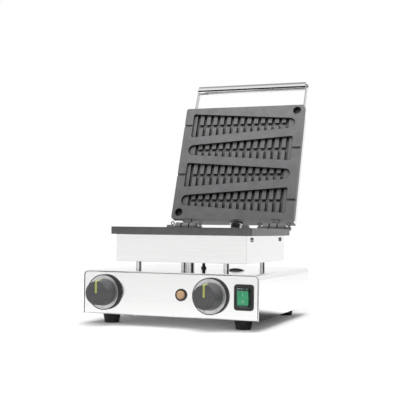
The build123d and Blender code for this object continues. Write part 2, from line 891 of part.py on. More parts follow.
split_neck_height = axis_height + pin_radius + split_pin_radius + split_pin_fit
split_eye_height = split_neck_height + split_pin_eye
with BuildPart() as split_pins:
    for x in split_places:
        with BuildSketch(Plane(origin=(x, axis_y, split_neck_height))):
            Circle(split_pin_radius)
        extrude(amount=-(2 * pin_radius + split_pin_tail))
        with BuildSketch(Plane(origin=(x, axis_y, split_eye_height))):
            with Locations((split_pin_eye, 0)):
                Circle(split_pin_radius)
        revolve(axis=Axis((x, axis_y, split_eye_height), (0, 1, 0)))
save(split_pins.part, "split_pins")

# Heaters, clamps and insulation


def heater(face):
    """A tubular heater bent four times across the back of its plate."""
    level = -plate_thickness - heater_gap - heater_radius
    route = [
        (-heater_span, heater_back),
        (-heater_span, heater_front),
        (-heater_inner, heater_front),
        (-heater_inner, heater_middle),
        (heater_inner, heater_middle),
        (heater_inner, heater_front),
        (heater_span, heater_front),
        (heater_span, heater_back),
    ]
    points = [face.from_local_coords((x, y, level)) for x, y in route]
    with BuildPart() as tube:
        with BuildLine() as path:
            FilletPolyline(*points, radius=heater_bend)
        with BuildSketch(Plane(origin=path.line @ 0, z_dir=path.line % 0)):
            Circle(heater_radius)
        sweep()
    return tube.part


def heater_clamp(face):
    """A steel bar across the heater, held by one screw in the plate's boss."""
    level = -plate_thickness - 2 * (heater_radius + heater_gap)
    with BuildPart() as bar:
        with BuildSketch(face.offset(level)):
            with Locations((0, plate_depth / 2)):
                Rectangle(clamp_length, clamp_width)
                Circle(clamp_screw_radius + screw_clearance, mode=Mode.SUBTRACT)
        extrude(amount=-clamp_thickness)
    return bar.part


def clamp_screw(face):
    """The hexagon screw that holds one heater clamp."""
    level = -plate_thickness - 2 * (heater_radius + heater_gap) - clamp_thickness
    with BuildPart() as screw:
        with BuildSketch(face.offset(level)):
            with Locations((0, plate_depth / 2)):
                RegularPolygon(clamp_screw_flats / 2, 6, major_radius=False)
        extrude(amount=-clamp_screw_head_height)
        with BuildSketch(face.offset(level)):
            with Locations((0, plate_depth / 2)):
                Circle(clamp_screw_radius)
        extrude(amount=clamp_thickness + clamp_screw_length - clamp_screw_end_gap)
    return screw.part


def insulation(face):
    """The mineral wool that lies on a housing's floor."""
    with BuildPart() as pad:
        with BuildSketch(face.offset(housing_floor + housing_sheet + pad_gap)):
            with Locations((0, housing_middle)):
                Rectangle(pad_width, pad_depth)
        extrude(amount=pad_thickness)
        upright = pad.edges().filter_by(Axis(face.origin, face.z_dir))
        fillet(upright, pad_corner)
    return pad.part


save(heater(lower_face), "lower_heater")
save(heater(lid_face), "lid_heater")
save(heater_clamp(lower_face), "lower_heater_clamp")
save(heater_clamp(lid_face), "lid_heater_clamp")
save(clamp_screw(lower_face), "lower_clamp_screw")
save(clamp_screw(lid_face), "lid_clamp_screw")

with BuildPart() as lower_insulation:
    add(insulation(lower_face))
    with BuildSketch(Plane.XY.offset(housing_bottom)):
        with Locations((wire_sleeve_x, base_y)):
            Circle(pad_hole_radius)
        with Locations((0, base_y)):
            Circle(pad_hole_radius)
    extrude(amount=housing_height, mode=Mode.SUBTRACT)
save(lower_insulation.part, "lower_insulation")
save(insulation(lid_face), "lid_insulation")

# Lid handle

arm_inner = housing_width / 2 + arm_clearance
arm_middle = arm_length / 2
handle_y = handle_along
handle_z = -handle_behind

with BuildPart() as handle_arms:
    for side in (-1, 1):
        inner_x = side * arm_inner - (arm_thickness if side < 0 else 0)
        with BuildSketch(placed(lid_face, inner_x, 0, 0, (0, 90, 0))):
            with Locations(
                Location(
                    (
                        handle_behind - arm_middle * sin(arm_turn),
                        handle_along - arm_middle * cos(arm_turn),
                    ),
                    90 - arm_lean,
                )
            ):
                SlotOverall(arm_length + arm_width, arm_width)
            with Locations(*[(behind, along) for along, behind in arm_screw_points]):
                Circle(arm_screw_radius + screw_clearance, mode=Mode.SUBTRACT)
            with Locations((handle_behind, handle_along)):
                Circle(arm_screw_radius + screw_clearance, mode=Mode.SUBTRACT)
        extrude(amount=arm_thickness)
save(handle_arms.part, "handle_arms")

grip_half = arm_inner
with BuildPart() as handle_grip:
    with BuildSketch(placed(lid_face, -grip_half, handle_y, handle_z, (0, 90, 0))):
        Circle(handle_radius)
    extrude(amount=2 * grip_half)
    with BuildSketch(
        placed(lid_face, -grip_half + handle_plug_length, handle_y, handle_z, (0, 90, 0))
    ):
        Circle(handle_radius - handle_wall)
    extrude(amount=2 * (grip_half - handle_plug_length), mode=Mode.SUBTRACT)
    with BuildSketch(placed(lid_face, -grip_half, handle_y, handle_z, (0, 90, 0))):
        Circle(arm_screw_radius + pin_fit)
    extrude(amount=2 * grip_half, mode=Mode.SUBTRACT)
save(handle_grip.part, "handle_grip")

handle_screw_points = arm_screw_points + [(handle_along, handle_behind)]
with BuildPart() as handle_screws:
    for side in (-1, 1):
        outer = placed(
            lid_face, side * (arm_inner + arm_thickness), 0, 0, (0, side * 90, 0)
        )
        spots = [(side * behind, along) for along, behind in handle_screw_points]
        with BuildSketch(outer):
            with Locations(*spots):
                Circle(arm_screw_head_radius)
        extrude(amount=arm_screw_head_height)
        with BuildSketch(outer):
            with Locations(*spots):
                Circle(arm_screw_radius)
        extrude(amount=-arm_screw_length)
save(handle_screws.part, "handle_screws")

# Front controls. The scale lies in a rebate of its bezel, just below the rim.

scale_front = bezel_height - scale_drop
scale_seat = scale_front - scale_thickness
knob_foot = scale_front + knob_foot_gap


def bezel(x):
    """The black ring that stands off the panel and holds one scale."""
    with BuildPart() as ring:
        with BuildSketch(placed(front_plane, x)):
            Circle(bezel_radius)
            Circle(bezel_radius - bezel_width, mode=Mode.SUBTRACT)
        extrude(amount=bezel_height)
        with BuildSketch(placed(front_plane, x, 0, scale_seat)):
            Circle(bezel_radius - bezel_rim)
        extrude(amount=bezel_height - scale_seat, mode=Mode.SUBTRACT)
        outer = ring.faces().sort_by(Axis.Y)[0].outer_wire().edges()
        fillet(outer, bezel_edge)
    return ring.part


def scale_ring(x):
    """The silver disc that carries one knob's scale."""
    with BuildPart() as disc:
        with BuildSketch(placed(front_plane, x, 0, scale_seat)):
            Circle(bezel_radius - bezel_rim - scale_gap)
            Circle(bush_radius + screw_clearance, mode=Mode.SUBTRACT)
        extrude(amount=scale_thickness)
    return disc.part


def shaft_outline(radius, flat):
    """A round shaft section with one flat."""
    with BuildSketch() as outline:
        Circle(radius)
        with Locations((0, -radius + flat / 2)):
            Rectangle(2 * radius, flat, mode=Mode.SUBTRACT)
    return outline.sketch


def knob_shaft(x):
    """The flatted shaft, from inside the control's bush to inside its knob."""
    with BuildPart() as shaft:
        with BuildSketch(placed(front_plane, x, 0, -casing_sheet)):
            add(shaft_outline(shaft_radius, shaft_flat))
        extrude(amount=shaft_length)
    return shaft.part


def knob(x):
    """A tapered round knob with a flatted bore and a slot for its pointer."""
    with BuildPart() as body:
        with BuildSketch(placed(front_plane, x, 0, knob_foot)):
            Circle(knob_base_radius)
        with BuildSketch(placed(front_plane, x, 0, knob_reach)):
            Circle(knob_face_radius)
        loft()
        fillet(body.faces().sort_by(Axis.Y)[0].edges(), knob_edge)
        with BuildSketch(placed(front_plane, x)):
            add(shaft_outline(shaft_radius + shaft_fit, shaft_flat))
        extrude(amount=shaft_length - casing_sheet + shaft_end_gap, mode=Mode.SUBTRACT)
        add(pointer(x, pointer_fit), mode=Mode.SUBTRACT)
    return body.part


def pointer(x, grow):
    """The pointer strip: from the middle of the knob's face over its edge and down its side."""
    face_level = knob_reach - pointer_depth - grow
    with BuildPart() as strip:
        with BuildSketch(placed(front_plane, x, 0, face_level)):
            with Locations((0, knob_base_radius / 2)):
                Rectangle(pointer_width + 2 * grow, knob_base_radius)
        extrude(amount=pointer_depth + 2 * grow)
        side_low = knob_face_radius - pointer_depth - grow
        with BuildSketch(placed(front_plane, x, 0, knob_reach / 2)):
            with Locations((0, (side_low + knob_base_radius) / 2)):
                Rectangle(pointer_width + 2 * grow, knob_base_radius - side_low)
        extrude(amount=knob_reach / 2)
    return strip.part


def pointer_insert(x):
    """The strip trimmed to the knob's own taper and rounded edge."""
    with BuildPart() as insert:
        with BuildSketch(placed(front_plane, x, 0, knob_foot)):
            Circle(knob_base_radius)
        with BuildSketch(placed(front_plane, x, 0, knob_reach)):
            Circle(knob_face_radius)
        loft()
        fillet(insert.faces().sort_by(Axis.Y)[0].edges(), knob_edge)
        add(pointer(x, 0.0), mode=Mode.INTERSECT)
    return insert.part


for name, x in (("timer", timer_x), ("thermostat", thermostat_x)):
    save(bezel(x), name + "_bezel")
    save(scale_ring(x), name + "_scale")
    save(knob_shaft(x), name + "_shaft")
    save(knob(x), name + "_knob")
    save(pointer_insert(x), name + "_pointer")


def control_body(x, width, height, depth):
    """A timer or thermostat behind the panel, with the bush that its nut clamps."""
    with BuildPart() as body:
        with BuildSketch(placed(front_plane, x, 0, -casing_sheet)) as outline:
            Rectangle(width, height)
            fillet(outline.vertices(), control_body_corner)
        extrude(amount=-depth)
        with BuildSketch(placed(front_plane, x, 0, -casing_sheet)):
            Circle(bush_radius)
        extrude(amount=bush_length)
        with BuildSketch(placed(front_plane, x, 0, -casing_sheet)):
            Circle(shaft_radius + lug_fit)
        extrude(amount=bush_length, mode=Mode.SUBTRACT)
    return body.part


save(control_body(timer_x, timer_body_size, timer_body_size, timer_body_depth), "timer_body")
save(
    control_body(
        thermostat_x,
        thermostat_body_width,
        thermostat_body_height,
        thermostat_body_depth,
    ),
    "thermostat_body",
)

with BuildPart() as control_nuts:
    with BuildSketch(front_plane):
        with Locations((timer_x, 0), (thermostat_x, 0)):
            RegularPolygon(control_nut_flats / 2, 6, major_radius=False)
            Circle(bush_radius + pin_fit, mode=Mode.SUBTRACT)
    extrude(amount=control_nut_height)
save(control_nuts.part, "control_nuts")

# Pilot lamp

lamp_plane = placed(front_plane, lamp_x)
with BuildPart() as lamp_bezel:
    with BuildSketch(lamp_plane):
        Circle(lamp_bezel_radius)
        Circle(lamp_lens_radius + screw_clearance, mode=Mode.SUBTRACT)
    extrude(amount=lamp_bezel_height)
    fillet(lamp_bezel.faces().sort_by(Axis.Y)[0].outer_wire().edges(), lamp_bezel_edge)
save(lamp_bezel.part, "lamp_bezel")

with BuildPart() as lamp_body:
    with BuildSketch(lamp_plane):
        Circle(lamp_neck_radius)
    extrude(amount=-lamp_body_length)
save(lamp_body.part, "lamp_body")

with BuildPart() as lamp_lens:
    with BuildSketch(lamp_plane):
        Circle(lamp_lens_radius)
    extrude(amount=lamp_lens_height)
    fillet(lamp_lens.faces().sort_by(Axis.Y)[0].edges(), lamp_lens_edge)
save(lamp_lens.part, "lamp_lens")

# Rocker switch

switch_plane = placed(front_plane, switch_x)
opening_width = rocker_width + 2 * rocker_side_gap
opening_height = rocker_height + 2 * rocker_end_gap

with BuildPart() as switch_frame:
    with BuildSketch(switch_plane) as frame_outline:
        Rectangle(switch_frame_width, switch_frame_height)
        fillet(frame_outline.vertices(), switch_frame_corner)
    extrude(amount=switch_frame_thickness)
    fillet(switch_frame.faces().sort_by(Axis.Y)[0].edges(), switch_frame_edge)
    with BuildSketch(switch_plane):
        Rectangle(neck_width, neck_height)
    extrude(amount=-switch_neck_length)
    with BuildSketch(switch_plane.offset(switch_frame_thickness)):
        Rectangle(opening_width, opening_height)
    extrude(amount=-(switch_frame_thickness + switch_neck_length), mode=Mode.SUBTRACT)
    with BuildSketch(placed(switch_plane, 0, 0, 0, (0, 90, 0))):
        Circle(rocker_pivot_radius + rocker_pivot_fit)
    extrude(amount=neck_width, both=True, mode=Mode.SUBTRACT)
save(switch_frame.part, "switch_frame")

with BuildPart() as switch_body:
    with BuildSketch(switch_plane.offset(-switch_neck_length)):
        Rectangle(neck_width, neck_height)
    extrude(amount=-switch_body_depth)
save(switch_body.part, "switch_body")

with BuildPart() as switch_boot:
    with BuildSketch(switch_plane.offset(switch_frame_thickness)) as boot_outline:
        Rectangle(boot_width, boot_height)
        fillet(boot_outline.vertices(), boot_corner)
    extrude(amount=boot_reach - switch_frame_thickness)
    fillet(switch_boot.faces().sort_by(Axis.Y)[0].edges(), boot_edge)
    offset(amount=-boot_wall, openings=switch_boot.faces().sort_by(Axis.Y)[-1])
save(switch_boot.part, "switch_boot")

# The rocker lies over to its lower end at rest; its face is two planes that meet at the middle
rocker_rest = placed(switch_plane, 0, 0, 0, (rocker_tilt, 0, 0))
face_drop = rocker_height / 2 * sin(radians(rocker_tilt))
with BuildPart() as rocker:
    with BuildSketch(placed(rocker_rest, -rocker_width / 2, 0, 0, (0, 90, 0))):
        with BuildLine():
            Polyline(
                (rocker_root, -rocker_height / 3),
                (-rocker_reach + face_drop, -rocker_height / 2),
                (-rocker_reach, -rocker_height / 2),
                (-rocker_reach + face_drop, 0),
                (-rocker_reach, rocker_height / 2),
                (-rocker_reach + face_drop, rocker_height / 2),
                (rocker_root, rocker_height / 3),
                close=True,
            )
        make_face()
    extrude(amount=rocker_width)
    pivot_length = neck_width - 2 * rocker_pivot_inset
    with BuildSketch(placed(rocker_rest, -pivot_length / 2, 0, 0, (0, 90, 0))):
        Circle(rocker_pivot_radius)
    extrude(amount=pivot_length)
save(rocker.part, "rocker")

# Lead between the two housings, and its glands


def gland(plane):
    """A cable gland through a housing's wall: neck and inner rim, hexagon, and body."""
    with BuildPart() as body:
        with BuildSketch(plane):
            RegularPolygon(gland_flats / 2, 6, major_radius=False)
        extrude(amount=gland_nut_height)
        with BuildSketch(plane.offset(gland_nut_height)):
            Circle(gland_body_radius)
        extrude(amount=gland_body_length)
        fillet(body.faces().sort_by(Axis(plane.origin, plane.z_dir))[-1].edges(), gland_edge)
        with BuildSketch(plane):
            Circle(gland_neck_radius)
        extrude(amount=-gland_neck_length)
        with BuildSketch(plane.offset(-gland_neck_length)):
            Circle(lead_radius)
        extrude(amount=gland_neck_length + gland_seat, mode=Mode.SUBTRACT)
    return body.part


save(gland(lower_gland_plane), "lower_lead_gland")
save(gland(lid_gland_plane), "lid_lead_gland")

gland_reach = gland_nut_height + gland_body_length
lead_route = [
    lower_gland_plane.offset(gland_reach).origin,
    lower_gland_plane.offset(gland_reach + lead_step).origin,
    lid_gland_plane.offset(gland_reach + lead_step).origin,
    lid_gland_plane.offset(gland_reach).origin,
]


def corner_radii(route):
    """The largest arc that each corner's two runs allow."""
    radii = []
    for before, here, after in zip(route, route[1:], route[2:]):
        turn = radians((here - before).get_angle(after - here))
        shorter = min((here - before).length, (after - here).length)
        radii.append(0.45 * shorter * cos(turn / 2) / sin(turn / 2))
    return radii


lead_radii = corner_radii(lead_route)
print("lead corner radii", [round(radius, 1) for radius in lead_radii])
with BuildPart() as housing_lead:
    with BuildLine() as lead_path:
        FilletPolyline(*lead_route, radius=lead_radii)
    with BuildSketch(Plane(origin=lead_route[0], z_dir=lead_path.line % 0)):
        Circle(lead_radius)
    sweep()
lead_length = sum(edge.length for edge in lead_path.edges())
print("lead length", round(lead_length, 1))
lead_share = housing_lead.part.volume / (pi * lead_radius**2 * lead_length)
print("lead volume over section times length", round(lead_share, 4))
save(housing_lead.part, "housing_lead")

# Mains gland, terminal block, thermostat bulb and capillary

mains_plane = placed(rear_plane, -mains_x, mains_height)
with BuildPart() as mains_gland:
    with BuildSketch(mains_plane):
        Circle(mains_flange_radius)
    extrude(amount=mains_flange_thickness)
    with BuildSketch(mains_plane.offset(mains_flange_thickness)):
        Circle(mains_body_radius)
    extrude(amount=mains_reach_out)
    fillet(mains_gland.faces().sort_by(Axis.Y)[-1].edges(), mains_edge)
    with BuildSketch(mains_plane):
        Circle(mains_body_radius)
    extrude(amount=-mains_reach_in)
    with BuildSketch(mains_plane.offset(-mains_reach_in)):
        Circle(mains_bore_radius)
    extrude(
        amount=mains_reach_in + mains_flange_thickness + mains_reach_out,
        mode=Mode.SUBTRACT,
    )
save(mains_gland.part, "mains_gland")

with BuildPart() as terminal_block:
    with BuildSketch(Plane.XY.offset(floor_top)):
        with Locations((terminal_x, base_y + terminal_y)):
            Rectangle(terminal_size[0], terminal_size[1])
    extrude(amount=terminal_size[2])
    with BuildSketch(Plane.XY.offset(floor_top + terminal_size[2])):
        with Locations((terminal_x, base_y + terminal_y)):
            with GridLocations(*terminal_pitch, *terminal_count):
                Circle(terminal_hole_radius)
    extrude(amount=-terminal_hole_depth, mode=Mode.SUBTRACT)
save(terminal_block.part, "terminal_block")

bulb_level = plate_bottom - heater_gap - bulb_radius
bulb_front = base_y - bulb_length / 2 + bulb_back_step
with BuildPart() as thermostat_bulb:
    with BuildSketch(Plane.XZ.offset(-bulb_front)):
        with Locations((bulb_x, bulb_level)):
            Circle(bulb_radius)
    extrude(amount=-bulb_length)
save(thermostat_bulb.part, "thermostat_bulb")

above_pad = housing_bottom + housing_sheet + pad_gap + pad_thickness + capillary_lift
thermostat_back = panel_front + casing_sheet + thermostat_body_depth
capillary_route = [
    Vector(bulb_x, bulb_front, bulb_level),
    Vector(bulb_x, bulb_front - capillary_step, bulb_level),
    Vector(bulb_x, bulb_front - capillary_step, above_pad),
    Vector(0, base_y, above_pad),
    Vector(0, base_y, capillary_low),
    Vector(thermostat_x, base_y - capillary_turn, capillary_low),
    Vector(thermostat_x, thermostat_back + capillary_step, control_level),
    Vector(thermostat_x, thermostat_back, control_level),
]
capillary_radii = [min(r, capillary_bend) for r in corner_radii(capillary_route)]
with BuildPart() as capillary_tube:
    with BuildLine() as capillary_path:
        FilletPolyline(*capillary_route, radius=capillary_radii)
    with BuildSketch(Plane(origin=capillary_route[0], z_dir=capillary_path.line % 0)):
        Circle(capillary_radius)
    sweep()
save(capillary_tube.part, "capillary_tube")
print("casing centre from the origin", round(base_y, 4))
print("hinge axis", round(axis_y, 4), round(axis_height, 4))
print("lid edge", round(lid_edge_y, 4), round(lid_edge_z, 4))
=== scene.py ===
import math

import bmesh
import bpy
from mathutils import Matrix, Vector

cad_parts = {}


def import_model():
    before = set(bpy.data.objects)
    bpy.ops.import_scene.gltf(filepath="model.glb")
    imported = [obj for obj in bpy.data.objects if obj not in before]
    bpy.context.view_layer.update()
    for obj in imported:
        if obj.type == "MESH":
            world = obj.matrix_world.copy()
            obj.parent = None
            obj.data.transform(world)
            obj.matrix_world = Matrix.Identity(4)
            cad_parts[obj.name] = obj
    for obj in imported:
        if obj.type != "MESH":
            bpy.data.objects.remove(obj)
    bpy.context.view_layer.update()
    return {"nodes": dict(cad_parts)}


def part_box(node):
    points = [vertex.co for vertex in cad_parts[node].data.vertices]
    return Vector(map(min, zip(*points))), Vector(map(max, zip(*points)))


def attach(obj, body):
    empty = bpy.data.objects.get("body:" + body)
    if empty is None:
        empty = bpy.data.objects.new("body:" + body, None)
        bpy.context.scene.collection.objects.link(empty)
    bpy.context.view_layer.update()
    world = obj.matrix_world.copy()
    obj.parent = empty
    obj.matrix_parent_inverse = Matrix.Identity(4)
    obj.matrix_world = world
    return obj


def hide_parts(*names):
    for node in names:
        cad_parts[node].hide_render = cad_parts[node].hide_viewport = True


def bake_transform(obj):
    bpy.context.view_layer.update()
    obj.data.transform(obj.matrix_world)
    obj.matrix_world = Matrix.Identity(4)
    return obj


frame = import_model()
nodes = frame["nodes"]

# A countertop lollipop waffle maker on a white floor. X runs to the right, Y to the back, Z up.

# Camera: its place, its turn, rise and roll in degrees, and its lens and sensor in millimetres
camera_place = Vector((0.53423, -1.49751, 0.15881))
camera_turn = 20.51346
camera_rise = 1.93210
camera_roll = -0.73363
camera_lens = 77.717
camera_sensor = 36.0

# Light: two wide suns that reach the whole floor alike, a lamp above the lid and one to the right.
# A sun has its direction, power and angle, and a lamp its place, aim, size and power.
world_diffuse = 0.20
floor_half = 30.0
floor_colour = 0.92
floor_bounce = 0.30
floor_glow = 0.07
top_sun = ((0.06, -0.06, 1.0), 2.40, 75.0)
front_sun = ((0.35, -0.95, 0.50), 0.75, 60.0)
lid_lamp = ((0.02, -0.06, 0.82), (0.0, 0.22, 0.46), (0.45, 0.2), 2.6)
right_lamp = ((1.30, 0.20, 0.75), (0.1, 0.10, 0.16), (0.6, 0.5), 2.5)

# Room that metal mirrors: white, with a dark zone to the right, one behind to the left, and a
# grey ceiling. A zone has its middle, its tone, and how near its middle it starts and is full.
dark_zones = (
    ((0.978, -0.208, 0.0), 0.04, 0.70, 0.82),
    ((-0.819, 0.574, 0.0), 0.10, 0.88, 0.95),
    ((0.0, 0.0, 1.0), 0.40, 0.72, 0.95),
)

# A dark card in front of the lid, which the handle's tube mirrors: its tone, place and reach
flag_tone = 0.05
flag_y = -0.25
flag_x = (-0.95, 0.60)
flag_z = (0.165, 0.52)

# Dials: how far the scales go round, clockwise from the top, and their numbers and ticks
dial_sweep = 300.0
timer_numbers = ("0", "1", "2", "3", "4", "5")
thermostat_numbers = ("0", "50", "100", "150", "200", "250", "300")
timer_ticks = 25
thermostat_ticks = 30
number_radius = 0.0242
number_size = 0.0028
tick_outer = 0.0272
tick_long = 0.0014
tick_short = 0.0008
tick_width = 0.00028
print_height = 0.00006

# Rocker: the lean and size of its two half faces, and their marks
rocker_tilt = math.radians(6.0)
rocker_half = 0.011
rocker_reach = 0.0065
mark_bar = (0.0009, 0.0042)
mark_ring = (0.0021, 0.00036)
mark_height = 0.00018
mark_segments = 32

# Crosses in the round screw heads on the side walls, dark flat marks that are painted shade for the
# recesses, each group with its body and turn
cross_length = 0.0038
cross_width = 0.0009
cross_depth = 0.00012
side_screws = (
    ("lower_housing_screws", "base", 30.0),
    ("lid_housing_screws", "lid", 15.0),
    ("handle_screws", "lid", 50.0),
)
same_point = 0.000001

# Lead between the housings: its route from the lower gland to the lid's gland. The two middle
# points stand 6 mm further out than the plain tube's, so that the smooth line keeps its length.
lead_route = (
    (-0.0750, 0.08680, 0.11860),
    (-0.0750, 0.13880, 0.11860),
    (0.0000, 0.11554, 0.10912),
    (0.0000, 0.13281, 0.15817),
)
lead_radius = 0.0045
strand_radius = 0.00055
strand_count = 12
strand_pitch = 0.021
strand_wave = 0.35
strand_sink = 1.4
core_sides = 20
strand_sides = 6
line_steps = 64

# Brushed sheet: how fine its grain is across and along, its depth, and the edges' radius
grain_across = 2600.0
grain_along = 16.0
grain_depth = 0.000006
tube_grain_depth = 0.0000003
sheet_edge = 0.0009
sheet_cloud = 14.0
sheet_tone = (0.82, 0.82, 0.815)
sheet_roughness = 0.12

# Cast plates: how fine their grain and patches are, and the grain's depth
cast_fine = 2300.0
cast_broad = 60.0
cast_depth = 0.00006

# Painted shade in the grooves of the plates: how far off a wall still shades them, and how dark the
# painted shade gets
groove_reach = 0.011
groove_closed = 0.30
groove_open = 0.95
groove_tone = 0.03

# Painted shade on the lid housing's hinge side: the way it faces, and how dark the painted shade
# makes it
hinge_side = (0.0, -0.332, -0.943)
hinge_side_near = (0.80, 0.95)
hinge_side_shade_tone = 0.05


# Materials

def material(name, colour, roughness, metallic=0.0, **sockets):
    """A new material: its node tree and shader, with constant values on the shader's sockets."""
    made = bpy.data.materials.new(name)
    made.use_nodes = True
    shader = made.node_tree.nodes["Principled BSDF"]
    shader.inputs["Base Color"].default_value = (*colour, 1.0)
    shader.inputs["Roughness"].default_value = roughness
    shader.inputs["Metallic"].default_value = metallic
    for socket, value in sockets.items():
        shader.inputs[socket.replace("_", " ")].default_value = value
    return made, made.node_tree, shader


def noise(tree, scale, stretch=(1.0, 1.0, 1.0), detail=3.0):
    """A noise texture in the object's own coordinates, in metres."""
    place = tree.nodes.new("ShaderNodeTexCoord")
    mapping = tree.nodes.new("ShaderNodeMapping")
    mapping.inputs["Scale"].default_value = stretch
    texture = tree.nodes.new("ShaderNodeTexNoise")
    texture.inputs["Scale"].default_value = scale
    texture.inputs["Detail"].default_value = detail
    tree.links.new(place.outputs["Object"], mapping.inputs["Vector"])
    tree.links.new(mapping.outputs["Vector"], texture.inputs["Vector"])
    return texture.outputs["Fac"]


def ramp(tree, value, low, high):
    """Maps a value to a colour between two colours."""
    colours = tree.nodes.new("ShaderNodeValToRGB")
    colours.color_ramp.elements[0].position = 0.3
    colours.color_ramp.elements[1].position = 0.7
    colours.color_ramp.elements[0].color = (*low, 1.0)
    colours.color_ramp.elements[1].color = (*high, 1.0)
    tree.links.new(value, colours.inputs["Fac"])
    return colours.outputs["Color"]


def spread(tree, value, low, high):
    """Maps a value from 0.3..0.7 to low..high."""
    ranged = tree.nodes.new("ShaderNodeMapRange")
    ranged.inputs["From Min"].default_value = 0.3
    ranged.inputs["From Max"].default_value = 0.7
    ranged.inputs["To Min"].default_value = low
    ranged.inputs["To Max"].default_value = high
    tree.links.new(value, ranged.inputs["Value"])
    return ranged.outputs["Result"]


def math_node(tree, operation, first, second):
    """A math node with two inputs, each a socket or a number."""
    node = tree.nodes.new("ShaderNodeMath")
    node.operation = operation
    for number, value in enumerate((first, second)):
        if isinstance(value, (int, float)):
            node.inputs[number].default_value = value
        else:
            tree.links.new(value, node.inputs[number])
    return node.outputs[0]


def fade(tree, value, start, end, low, high):
    """Goes smoothly from low to high as a value goes from start to end."""
    ranged = tree.nodes.new("ShaderNodeMapRange")
    ranged.interpolation_type = "SMOOTHSTEP"
    ranged.inputs["From Min"].default_value = start
    ranged.inputs["From Max"].default_value = end
    ranged.inputs["To Min"].default_value = low
    ranged.inputs["To Max"].default_value = high
    tree.links.new(value, ranged.inputs["Value"])
    return ranged.outputs["Result"]


def nearness(tree, toward, middle):
    """How near a direction is to a middle one, from -1 to 1."""
    node = tree.nodes.new("ShaderNodeVectorMath")
    node.operation = "DOT_PRODUCT"
    node.inputs[1].default_value = middle
    tree.links.new(toward, node.inputs[0])
    return node.outputs["Value"]


def bump(tree, shader, height, distance, edge=0.0):
    """Bump from a height value, its distance in metres, over edges rounded by a radius."""
    node = tree.nodes.new("ShaderNodeBump")
    if edge:
        rounded = tree.nodes.new("ShaderNodeBevel")
        rounded.samples = 6
        rounded.inputs["Radius"].default_value = edge
        tree.links.new(rounded.outputs["Normal"], node.inputs["Normal"])
    node.inputs["Distance"].default_value = distance
    tree.links.new(height, node.inputs["Height"])
    tree.links.new(node.outputs["Normal"], shader.inputs["Normal"])


def shaded(value, share):
    """A colour made darker or lighter by a share."""
    return tuple(min(1.0, part * share) for part in value)


def product(tree, first, second):
    """The product of two colours, or of a colour and a value."""
    mix = tree.nodes.new("ShaderNodeVectorMath")
    mix.operation = "MULTIPLY"
    tree.links.new(first, mix.inputs[0])
    tree.links.new(second, mix.inputs[1])
    return mix.outputs["Vector"]


def brushed_steel(name, colour, roughness, depth=grain_depth):
    """Stainless sheet, its grain running level, or along X on level faces."""
    made, tree, shader = material(name, colour, roughness, 1.0)
    upright = noise(tree, 1.0, (grain_along, grain_along, grain_across), 4.0)
    level = noise(tree, 1.0, (grain_along, grain_across, grain_along), 4.0)
    normal = tree.nodes.new("ShaderNodeNewGeometry")
    parts = tree.nodes.new("ShaderNodeSeparateXYZ")
    mix = tree.nodes.new("ShaderNodeMix")
    tree.links.new(normal.outputs["Normal"], parts.inputs["Vector"])
    levelness = math_node(tree, "ABSOLUTE", parts.outputs["Z"], 0.0)
    tree.links.new(levelness, mix.inputs["Factor"])
    tree.links.new(upright, mix.inputs["A"])
    tree.links.new(level, mix.inputs["B"])
    grain = mix.outputs["Result"]
    tone = ramp(tree, grain, shaded(colour, 0.94), shaded(colour, 1.04))
    tree.links.new(tone, shader.inputs["Base Color"])
    half_cloud = math_node(tree, "MULTIPLY", noise(tree, sheet_cloud), 0.5)
    half_grain = math_node(tree, "MULTIPLY", grain, 0.5)
    mixed = math_node(tree, "ADD", half_cloud, half_grain)
    gloss = spread(tree, mixed, roughness * 0.8, roughness * 1.25)
    tree.links.new(gloss, shader.inputs["Roughness"])
    bump(tree, shader, grain, depth, sheet_edge)
    return made


def grained(name, colour, roughness, scale, depth, metallic=0.0, contrast=0.12, **sockets):
    """A moulded, cast or plated surface with fine grain, patches of tone and uneven gloss."""
    made, tree, shader = material(name, colour, roughness, metallic, **sockets)
    fine = noise(tree, scale, detail=5.0)
    broad = noise(tree, scale * 0.04, detail=2.0)
    tone = ramp(tree, broad, shaded(colour, 1 - contrast), shaded(colour, 1 + contrast))
    tree.links.new(tone, shader.inputs["Base Color"])
    gloss = spread(tree, fine, roughness * 0.88, min(1.0, roughness * 1.12))
    tree.links.new(gloss, shader.inputs["Roughness"])
    bump(tree, shader, fine, depth)
    return made


def plate_coating(name, colour, roughness):
    """Coated cast iron: fine grain, patches of tone, and painted shade in its grooves."""
    made, tree, shader = material(name, colour, roughness, Specular_IOR_Level=0.8)
    fine = noise(tree, cast_fine, detail=6.0)
    broad = noise(tree, cast_broad, detail=2.0)
    toned = ramp(tree, broad, shaded(colour, 0.88), shaded(colour, 1.12))
    grain = ramp(tree, fine, (0.72, 0.72, 0.72), (1.28, 1.28, 1.28))
    # Painted shade: the grooves are darkened by how closed in they are
    hollow = tree.nodes.new("ShaderNodeAmbientOcclusion")
    hollow.samples = 12
    hollow.inputs["Distance"].default_value = groove_reach
    painted_groove_shade = fade(tree, hollow.outputs["AO"], groove_closed, groove_open, groove_tone, 1.0)
    tone = product(tree, product(tree, toned, grain), painted_groove_shade)
    tree.links.new(tone, shader.inputs["Base Color"])
    gloss = spread(tree, fine, roughness * 0.85, roughness * 1.15)
    tree.links.new(gloss, shader.inputs["Roughness"])
    bump(tree, shader, fine, cast_depth)
    return made


def paint_hinge_side_shade(surface):
    """Paints shade on a sheet metal, darker on the side that faces the hinge, in the object's own
    frame.
    """
    tree = surface.node_tree
    shader = tree.nodes["Principled BSDF"]
    faces = tree.nodes.new("ShaderNodeTexCoord").outputs["Normal"]
    near = nearness(tree, faces, hinge_side)
    share = fade(tree, near, *hinge_side_near, 1.0, hinge_side_shade_tone)
    colour = shader.inputs["Base Color"].links[0].from_socket
    tree.links.new(product(tree, colour, share), shader.inputs["Base Color"])


